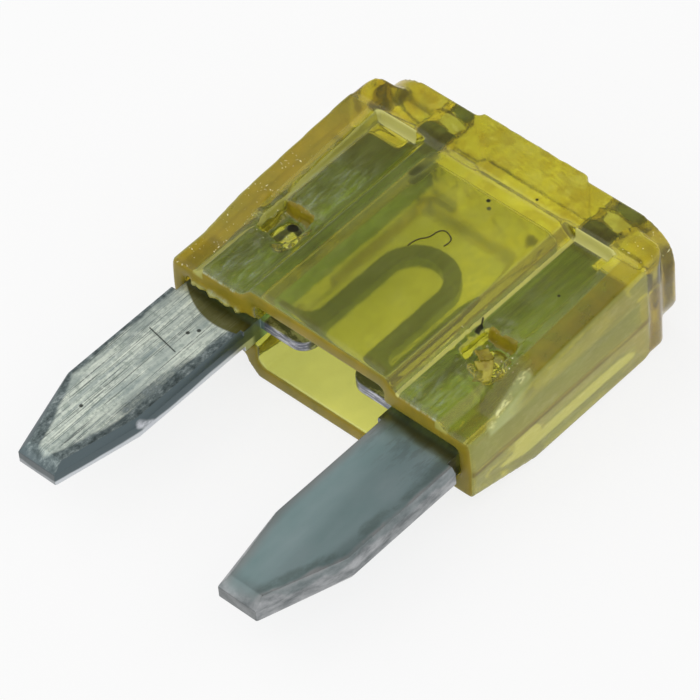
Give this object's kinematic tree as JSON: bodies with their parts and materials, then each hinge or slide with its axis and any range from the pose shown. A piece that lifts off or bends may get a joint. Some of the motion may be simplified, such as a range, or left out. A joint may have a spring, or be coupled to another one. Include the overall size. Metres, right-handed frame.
{
  "type": "automotive blade fuse",
  "caption": "Flat plug-in fuse: a stamped element of flat blades and an arched fusible link, staked into a clear yellow moulded housing.",
  "frame": {"origin": "under the middle of the fuse, on the surface that its back lies on", "axes": "+X across the width, +Y along the blades towards the head, +Z out of the front face"},
  "size_m": [0.011, 0.0162, 0.0036],
  "materials": {
    "clear_yellow_plastic": "transparent yellow moulding, glossy, light scuffs",
    "zinc": "stamped zinc alloy, dull grey, brushed and scratched along the blades"
  },
  "bodies": {
    "root": {"housing": "clear_yellow_plastic", "fuse_element": "zinc"}
  },
  "joints": []
}
